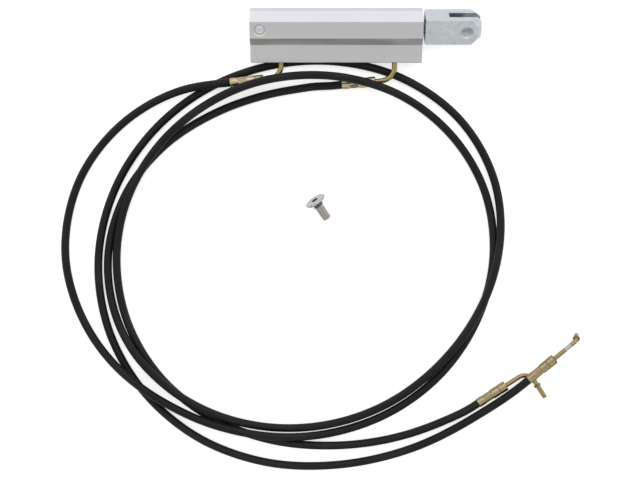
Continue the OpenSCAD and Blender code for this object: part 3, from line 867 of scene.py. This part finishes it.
def ring_tube(name, rings, sides=32):
    """A tube through rings of (frame, radius, bare, painted shade), closed onto itself through its
    bore.
    """
    build = bmesh.new()
    bare_mark = build.verts.layers.float.new("bare")
    shade_mark = build.verts.layers.float.new("painted_shade")
    loops = []
    for place, radius, bare, painted_shade in rings:
        loops.append([
            build.verts.new(place @ Vector((0, radius * cos(a), radius * sin(a))))
            for a in (2 * pi * k / sides for k in range(sides))
        ])
        for point in loops[-1]:
            point[bare_mark] = bare
            point[shade_mark] = painted_shade
    join_rings(build, loops + loops[:1])
    return finished(build, name)


def with_bore(rings, bore_r):
    """The rings of a tube's outside followed back by those of its bore, which carry painted shade.
    """
    return rings + [(place, bore_r, 0.0, 0.6) for place, *_ in reversed(rings)]


# ---- Thread ridges and crimp ribs, laid by one rule each ----

def geometry_tree(name, **inputs):
    """An empty geometry tree with these inputs and the piece's material."""
    return new_group(
        name, {**inputs, "Material": "NodeSocketMaterial"}, {"Geometry": "NodeSocketGeometry"},
        "GeometryNodeTree",
    )


def end_tree(tree, given, out, geometry):
    """Realize Instances and Set Material, then the output."""
    real = output_of(tree, "GeometryNodeRealizeInstances", {0: geometry})
    return give(tree, out, Geometry=output_of(
        tree, "GeometryNodeSetMaterial", {0: real, "Material": given["Material"]}
    ))


def reshaped(tree, geometry, **change):
    """Geometry moved by its Translation, turned by its Rotation or sized by its Scale."""
    return output_of(tree, "GeometryNodeTransform", {0: geometry, **change})


STEPS_PER_TURN = 48.0
END_FADE = 16.0


def thread_tree():
    """A sharp ridge wound round X, from its middle's radius, depth, width, pitch and turns."""
    tree, given, out = geometry_tree(
        "thread_ridge", Radius=NUMBER, Depth=NUMBER, Width=NUMBER, Pitch=NUMBER, Turns=NUMBER
    )
    steps = times(tree, given["Turns"], STEPS_PER_TURN)
    line = output_of(tree, "GeometryNodeCurvePrimitiveLine")
    points = output_of(tree, "GeometryNodeResampleCurve", {"Curve": line, "Count": steps})
    along = tree.nodes.new("GeometryNodeSplineParameter").outputs["Factor"]
    turns = times(tree, along, given["Turns"])
    angle = times(tree, turns, 2 * pi)
    fade = times(tree, math_node(tree, "SUBTRACT", 1.0, along), along)
    ends = math_node(tree, "MINIMUM", times(tree, fade, END_FADE), 1.0)
    across, up = math_node(tree, "COSINE", angle), math_node(tree, "SINE", angle)
    place = vector_of(
        tree, times(tree, turns, given["Pitch"]), times(tree, across, given["Radius"]),
        times(tree, up, given["Radius"]),
    )
    wound = output_of(tree, "GeometryNodeSetPosition", {0: points, "Position": place})
    sized = output_of(tree, "GeometryNodeSetCurveRadius", {0: wound, "Radius": ends})
    upright = output_of(
        tree, "GeometryNodeSetCurveNormal",
        {"Curve": sized, "Normal": vector_of(tree, 0.0, across, up)}, mode="FREE",
    )
    ridge = output_of(tree, "GeometryNodeCurvePrimitiveCircle", {"Resolution": 4, "Radius": 1.0})
    size = vector_of(tree, given["Depth"], given["Width"], 1.0)
    swept = output_of(tree, "GeometryNodeCurveToMesh", {
        "Curve": upright, "Profile Curve": reshaped(tree, ridge, Scale=size), "Fill Caps": True,
    })
    return end_tree(tree, given, out, swept)


def crimp_tree():
    """Low ribs between the jaws of a crimp, spaced round X."""
    tree, given, out = geometry_tree(
        "crimp_ribs", Count="NodeSocketInt", Radius=NUMBER, Length=NUMBER, Width=NUMBER,
        Station=NUMBER,
    )
    ring = output_of(
        tree, "GeometryNodeMeshCircle", {"Vertices": given["Count"], "Radius": given["Radius"]}
    )
    bead = output_of(tree, "GeometryNodeMeshUVSphere", {"Segments": 12, "Rings": 8, "Radius": 1.0})
    half_length = times(tree, given["Length"], 0.5)
    size = vector_of(tree, half_length, given["Width"], given["Width"])
    ribs = output_of(tree, "GeometryNodeInstanceOnPoints", {
        "Points": reshaped(tree, ring, Rotation=(0, pi / 2, 0)),
        "Instance": reshaped(tree, bead, Scale=size),
    })
    at = vector_of(tree, given["Station"])
    return end_tree(tree, given, out, reshaped(tree, ribs, Translation=at))


THREAD_RIDGE, CRIMP_RIBS = thread_tree(), crimp_tree()


def laid(name, tree, frame_at, **sizes):
    """The plain mesh piece that a geometry tree lays with these sizes."""
    piece = add_piece(name, bpy.data.meshes.new(name))
    modifier = modify(piece, "NODES", node_group=tree)
    for item in tree.interface.items_tree:
        if item.in_out == "INPUT" and item.name in sizes:
            modifier[item.identifier] = sizes[item.name]
    applied(piece)
    piece.data.transform(frame_at)
    return piece


def fit(piece, body, slot, *nodes):
    """Rides a finished piece on its body, and lets it stand for solid model nodes."""
    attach(piece, body)
    if nodes:
        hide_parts(*nodes)


def paint(piece, material):
    piece.data.materials.clear()
    piece.data.materials.append(material)
    return piece


# ---- Barrel and what closes it ----

EDGE = 0.3 * MM
PLUG_AT = 7.6 * MM

fit(machined("barrel", "barrel_extrusion", EDGE, ANODISED), "barrel", "extrusion", "barrel")


def lock_plug():
    """Domed plug pressed into its countersink, with a rolled edge."""
    radius, top, foot = 3.6 * MM, BARREL_HALF - 0.05 * MM, 5.2 * MM
    profile = [
        (foot, 0), (foot, radius), (top - 1.3 * MM, radius), (top - 0.8 * MM, radius - 0.15 * MM),
        (top - 0.42 * MM, radius - 0.6 * MM), (top - 0.2 * MM, radius - 1.2 * MM),
        (top - 0.06 * MM, radius * 0.4), (top, 0),
    ]
    upright = ON_BARREL @ shift(PLUG_AT) @ spin("Y", -pi / 2)
    return evened(add_piece("lock_plug", turned("lock_plug", profile, upright), PLUG_METAL))


fit(lock_plug(), "barrel", "machined_aluminium", "cap_lock_plug")
fit(
    machined("rear_cap", "rear_cap_disc", 0.2 * MM, TURNED_ALUMINIUM),
    "barrel", "machined_aluminium", "rear_cap",
)
fit(
    machined("rod_gland", "rod_gland_bush", 0.2 * MM, BRONZE),
    "barrel", "gland_bronze", "rod_gland",
)


def wiper_lip():
    """Black wiper in the gland's mouth, its lip reaching along the rod almost to the fork."""
    rod_r, seat_r, bore_r = 5 * MM, 6.95 * MM, 5.02 * MM
    face, lip = BARREL_LENGTH - 2 * MM, BARREL_LENGTH + 1.6 * MM
    seat = face - 3.35 * MM
    profile = [
        (seat, bore_r), (seat, seat_r), (face, seat_r), (face, rod_r + 1 * MM),
        (lip - 0.5 * MM, rod_r + 0.6 * MM), (lip, rod_r + 0.4 * MM), (lip, bore_r),
        (seat, bore_r),
    ]
    mesh = turned("rod_wiper_lip", profile, ON_BARREL)
    return evened(add_piece("rod_wiper_lip", mesh, SEAL_RUBBER))


fit(wiper_lip(), "barrel", "seal_rubber", "rod_wiper")


# ---- Fork ----

# The fork's eased edges are painted shade, in a darker copy of its zinc.
fit(machined("clevis", "fork", 0.28 * MM, ZINC, ZINC_SHADED_EDGE), "rod", "zinc_plate", "clevis")
PIN_AXIS = ON_CLEVIS @ shift(CLEVIS_REAR + CLEVIS_LENGTH - PIN_FROM_TIP) @ spin("Y", -pi / 2)
fit(
    laid(
        "fork_thread", THREAD_RIDGE, PIN_AXIS @ shift(FORK_EAR[0] + 0.3 * MM),
        Radius=FORK_THREAD_R, Depth=0.36 * MM, Width=0.4 * MM, Pitch=1.25 * MM, Turns=4,
        Material=ZINC,
    ),
    "rod", "zinc_plate",
)


# ---- Ferrules ----

COLLAR_AT = FERRULE_LENGTH - 5.9 * MM
WAIST = 6.1 * MM, COLLAR_AT - 7.3 * MM


def ferrule_profile(tube_r):
    """Outside from the mouth to the tube's collar, then back through the bore."""
    mouth_r, waist_r, ring_r, groove_r = 3.6 * MM, 3.42 * MM, 3.88 * MM, 3.5 * MM
    outside = eased([
        (0, 2.77 * MM), (0, mouth_r - 0.1 * MM), (0.3 * MM, mouth_r), (5.4 * MM, mouth_r),
        (WAIST[0], waist_r),
    ], 0.2 * MM)
    outside += [(station, waist_r, 1.0) for station in (
        WAIST[0] + 0.35 * MM, WAIST[0] + 0.6 * MM, WAIST[1] - 0.6 * MM, WAIST[1] - 0.35 * MM,
    )]
    outside += eased([
        (WAIST[1], waist_r), (WAIST[1] + 0.6 * MM, ring_r), (COLLAR_AT - 0.6 * MM, ring_r),
        (COLLAR_AT - 0.4 * MM, groove_r), (COLLAR_AT - 0.15 * MM, groove_r),
        (COLLAR_AT, FERRULE_R - 0.05 * MM), (FERRULE_LENGTH - 0.3 * MM, FERRULE_R),
        (FERRULE_LENGTH, FERRULE_R - 0.3 * MM), (FERRULE_LENGTH, tube_r + 0.5 * MM),
        (FERRULE_LENGTH - 0.35 * MM, tube_r + 0.02 * MM),
    ], 0.12 * MM)
    return outside + [(HOSE_IN, tube_r + 0.02 * MM), (HOSE_IN, 2.77 * MM), (0, 2.77 * MM)]


# Painted shade on rings at the ferrule's mouth and in its grooves, each a (from, to, amount) along
# X.
FERRULE_GROOVE_SHADE = [
    (-0.01 * MM, 0.12 * MM, 0.5), (5.6 * MM, WAIST[0] + 0.3 * MM, 0.5),
    (WAIST[1] - 0.3 * MM, WAIST[1] + 0.3 * MM, 0.6),
    (COLLAR_AT - 0.5 * MM, COLLAR_AT - 0.04 * MM, 0.7),
]


def ferrule(name, mouth, way, tube_r, finish, node):
    """A crimped ferrule from its mouth along the given way, with the ribs of its crimp."""
    at = towards(mouth, way)
    shell = turned(name, ferrule_profile(tube_r), at, shaded_grooves=FERRULE_GROOVE_SHADE)
    body = evened(add_piece(name, shell, finish), 40)
    fit(body, "barrel", "chromate", node)
    ribs = laid(
        name + "_crimp", CRIMP_RIBS, at, Count=8, Radius=3.34 * MM, Length=5.8 * MM,
        Width=0.16 * MM, Station=sum(WAIST) / 2, Material=finish,
    )
    fit(ribs, "barrel", "chromate")
    return [body, ribs]


# The port ferrules take the lighter copy of the chromate, painted light.
for side, (port, _, _) in ROUTES.items():
    ferrule(
        side + "_port_ferrule", port.mouth(), -port.heading, PORT_TUBE_R, LIT_CHROMATE,
        side + "_ferrule",
    )
fittings = {}
for side, (_, _, end) in ROUTES.items():
    fittings[side] = ferrule(
        side + "_crimped_end", end.mouth, end.heading, END_TUBE_R, CHROMATE, side + "_end_ferrule"
    )


# ---- Tubes ----

BEND_STEPS = 28
SHOULDER = 0.03 * MM


def lay_tube(name, tube, node):
    """The hollow tube that a bender has made, in the deeper chromate."""
    mesh = ring_tube(name, with_bore(tube.rings, TUBE_BORE_R))
    piece = evened(add_piece(name, mesh, DEEP_CHROMATE))
    fit(piece, "barrel", "chromate", node)
    return piece


def port_tube(name, port, node):
    """From its sealed nose inside the rail, down to level and round to the ferrule."""
    tube = Bender(ON_BARREL @ shift(port.station, -RAIL_REACH, PORT_HEIGHT) @ spin("Z", -pi / 2))
    radius, nose_r, flange_r = PORT_TUBE_R, 1.6 * MM, 2.55 * MM
    into_ferrule = port.hose_run + FERRULE_LENGTH
    tube.straight(
        (-8.4 * MM, nose_r), (-5 * MM, nose_r), (-5 * MM + SHOULDER, flange_r),
        (-4.05 * MM, flange_r), (-4.05 * MM + SHOULDER, radius), (TUBE_STUB, radius),
    )
    tube.bend(LEVEL_R, BARREL_ROLL, pi / 2, radius, 8)
    tube.straight((0, radius), (port.level_run, radius))
    tube.bend(SWING_R, port.swing, pi - port.lean, radius, BEND_STEPS)
    tube.straight(
        (0, radius), (into_ferrule - HOSE_IN, radius),
        (into_ferrule - HOSE_IN + SHOULDER, NIPPLE_R), (into_ferrule - 2.5 * MM, NIPPLE_R),
    )
    lay_tube(name, tube, node)


def end_tube(name, end, node, rubbed_and_highlight=False):
    """From its nipple in the hose, round its bend to the rolled bead and the open spigot.

    A rubbed tube has lost its chromate on the outside before its bend and along its spigot.
    """
    tube = Bender(towards(end.mouth, end.heading))
    radius, bead, half_bead = END_TUBE_R, end.to_bead, BEAD_WIDTH / 2
    tip = bead + SPIGOT_LENGTH
    out, straight, bare = FERRULE_LENGTH, end.straight, float(rubbed_and_highlight)
    # A ring's third number is rubbed bare metal and its fourth painted shade, here where the tube
    # leaves the ferrule and round the bead.
    tube.straight(
        (2.5 * MM, NIPPLE_R), (HOSE_IN, NIPPLE_R), (HOSE_IN + SHOULDER, radius),
        (out - 0.2 * MM, radius, 0, 0.7), (out + 0.2 * MM, radius, 0, 0.7),
        (out + 0.6 * MM, radius), (out + 0.62 * straight, radius),
        (out + 0.7 * straight, radius, bare), (out + straight, radius, bare),
    )
    tube.bend(end.bend_r, end.bend, end.side_turn, radius, BEND_STEPS)
    rolled = [
        (bead + half_bead * cos(a), radius + (BEAD_R - radius) * sin(a) ** 0.6, 0, 0.3)
        for a in (pi * (1 - k / 10) for k in range(1, 10))
    ]
    tube.straight(
        (0, radius), (bead - half_bead - 0.3 * MM, radius), (bead - half_bead, radius, 0, 0.8),
        *rolled, (bead + half_bead, radius, 0, 0.8), (bead + half_bead + 0.3 * MM, radius),
        (bead + 2 * half_bead, radius, bare), (tip - 0.5 * MM, radius, bare),
        (tip - 0.15 * MM, radius - 0.15 * MM, bare), (tip, radius - 0.4 * MM, bare),
        (tip, radius - 0.7 * MM),
    )
    return lay_tube(name, tube, node)


for side, (port, _, _) in ROUTES.items():
    port_tube(side + "_swept_tube", port, side + "_port_tube")
for side, (_, _, end) in ROUTES.items():
    spigot = end_tube(side + "_spigot_tube", end, side + "_end_tube", rubbed_and_highlight=side == "front")
    fittings[side] += [spigot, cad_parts[side + "_hose_tip"]]


# ---- Pivot screw, lying on its head's rim and its shank's end ----

def pivot_screw():
    """Low head with a hexagon socket, a threaded collar and a plain shank."""
    length, head_r, shank_r, core_r = 18 * MM, 8.4 * MM, 3.4 * MM, 3.3 * MM
    rim, cone, collar, edge = 1.5 * MM, 1.3 * MM, 3 * MM, 0.5 * MM
    under = length - rim - cone
    lean = asin((head_r - shank_r) / sqrt((length - rim - edge) ** 2 + (head_r - shank_r) ** 2))
    at = (
        shift(-0.021, -0.0795, shank_r * cos(lean) - edge * sin(lean))
        @ spin("Z", radians(124)) @ spin("Y", -lean)
    )
    profile = eased([
        (0, 0), (0, shank_r), (under - collar - 0.3 * MM, shank_r),
        (under - collar, core_r), (under - 0.5 * collar, core_r),
        (under, core_r), (length - rim, head_r - 0.1 * MM), (length - rim + 0.2 * MM, head_r),
        (length - 0.3 * MM, head_r), (length, head_r - 0.35 * MM), (length, 0),
    ], 0.15 * MM)
    # Painted shade in the thread's roots.
    shaded_roots = [(under - collar - 0.1 * MM, under + 0.1 * MM, 1.0)]
    body = add_piece(
        "screw_body", turned("screw_body", profile, Matrix.Identity(4), 96, shaded_grooves=shaded_roots)
    )
    cutter = add_piece("socket_cutter", turned("socket_cutter", [
        (length - 2.6 * MM, 0), (length - 2.2 * MM, 2.89 * MM), (length + 1 * MM, 2.89 * MM),
        (length + 1 * MM, 0),
    ], Matrix.Identity(4), 6))
    modify(body, "BOOLEAN", operation="DIFFERENCE", solver="EXACT", object=cutter)
    evened(applied(body), 35)
    bpy.data.objects.remove(cutter)
    painted_shade = body.data.attributes["painted_shade"].data
    stain = body.data.attributes.new("bare", "FLOAT", "POINT").data
    for point in body.data.vertices:
        stain[point.index].value = float(point.co.x < under - collar - 0.2 * MM)
        # Painted shade inside the hexagon socket.
        if length - 2.7 * MM < point.co.x < length - 1 * MM and point.co.yz.length < 3 * MM:
            painted_shade[point.index].value = 1.0
    body.data.transform(at)
    fit(paint(body, STAINLESS), "barrel", "stainless", "pivot_screw")
    ridge = laid(
        "screw_thread", THREAD_RIDGE, at @ shift(under - collar + 0.1 * MM),
        Radius=core_r, Depth=0.92 * MM, Width=0.46 * MM, Pitch=1.25 * MM, Turns=2.3,
        Material=THREAD_STEEL,
    )
    fit(ridge, "barrel", "stainless")


pivot_screw()


# ---- Nodes that keep their solid model's shape ----

KEPT = {
    CHROME: ("piston_rod",),
    ZINC: ("piston_nut", "rear_port_sleeve", "front_port_sleeve"),
    TURNED_ALUMINIUM: ("piston",),
    SPRING_STEEL: ("gland_retaining_ring",),
    SEAL_RUBBER: (
        "rear_cap_oring", "gland_oring", "piston_guide_ring", "rear_port_oring",
        "front_port_oring",
    ),
    SEAL_RED: ("rod_seal", "piston_seal"),
    HOSE_END: ("rear_hose_root", "front_hose_root", "rear_hose_tip", "front_hose_tip"),
}
for material, nodes in KEPT.items():
    for node in nodes:
        paint(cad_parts[node], material)


# ---- Hoses' finish ----

for side, (hose, path) in hoses.items():
    paint(hose, SHEATH)
    fit(hose, "barrel", "hose_rubber", side + "_hose")


# ---- Floor and light ----

def pale_floor():
    """Near-white floor, with a little light of its own that lifts it to white."""
    for_the_eye, in_the_gloss = 0.6, 0.1
    material, tree, shader, place = new_material("pale_floor")
    tone = noise(tree, place, 3.0, 2.0)
    feed(
        tree, shader.inputs["Base Color"],
        mix_colours(tree, tone, (0.74, 0.74, 0.74, 1), (0.76, 0.76, 0.76, 1)),
    )
    shader.inputs["Roughness"].default_value = 0.9
    shader.inputs["Specular IOR Level"].default_value = 0.1
    rays = tree.nodes.new("ShaderNodeLightPath").outputs
    through = math_node(tree, "MAXIMUM", rays["Is Glossy Ray"], rays["Is Transmission Ray"])
    lift = times(tree, through, in_the_gloss)
    shader.inputs["Emission Color"].default_value = (1, 1, 1, 1)
    feed(
        tree, shader.inputs["Emission Strength"],
        math_node(tree, "MULTIPLY_ADD", rays["Is Camera Ray"], for_the_eye, lift),
    )
    build = bmesh.new()
    bmesh.ops.create_grid(build, x_segments=1, y_segments=1, size=3.0)
    floor = add_piece("floor", finished(build, "floor"), material)
    floor.data.transform(shift(0, 0, -0.2 * MM))


LAMP_AIM = Vector((0, -0.05, 0))


def soft_lamp(name, at, size, glow):
    """A square soft box that faces the coil; glow is its brightness, where white is 1."""
    lamp = bpy.data.lights.new(name, "AREA")
    lamp.size = size
    lamp.energy = glow * pi * size * size
    way = LAMP_AIM - Vector(at)
    hold(name, lamp, at, way.to_track_quat("-Z", "Y").to_euler()).visible_glossy = False


def studio_world():
    """Pale surround: bright beyond the barrel, greyer overhead and near, dark at the near edge.

    The ramp runs over the top, from the horizon beyond the barrel to the horizon on the near side.
    """
    world = bpy.data.worlds.new("studio")
    bpy.context.scene.world = world
    world.use_nodes = True
    tree = world.node_tree
    way = tree.nodes.new("ShaderNodeTexCoord").outputs["Generated"]
    parts = add_node(tree, "ShaderNodeSeparateXYZ", {0: way}).outputs
    over = math_node(tree, "ARCTAN2", parts["Z"], parts["Y"])
    shade = ramp(
        tree, range_of(tree, over, 0, 1, 0, pi),
        (0.0, 0.3), (0.07, 0.75), (0.13, 1, 1, 1.05), (0.32, 1, 1, 1.05), (0.44, 0.64),
        (0.58, 0.54), (0.7, 0.53), (0.79, 0.76), (0.86, 0.78), (0.92, 0.24), (0.96, 0.06),
        (1.0, 0.03),
    )
    seen = tree.nodes.new("ShaderNodeLightPath").outputs["Is Camera Ray"]
    feed(
        tree, tree.nodes["Background"].inputs["Color"],
        mix_colours(tree, seen, shade, (1, 1, 1, 1)),
    )
    tree.nodes["Background"].inputs["Strength"].default_value = 1.0


pale_floor()
studio_world()
soft_lamp("overhead_soft_box", (0.1, 0.35, 1.9), 1.3, 1.7)
bpy.context.scene.view_settings.view_transform = "Standard"
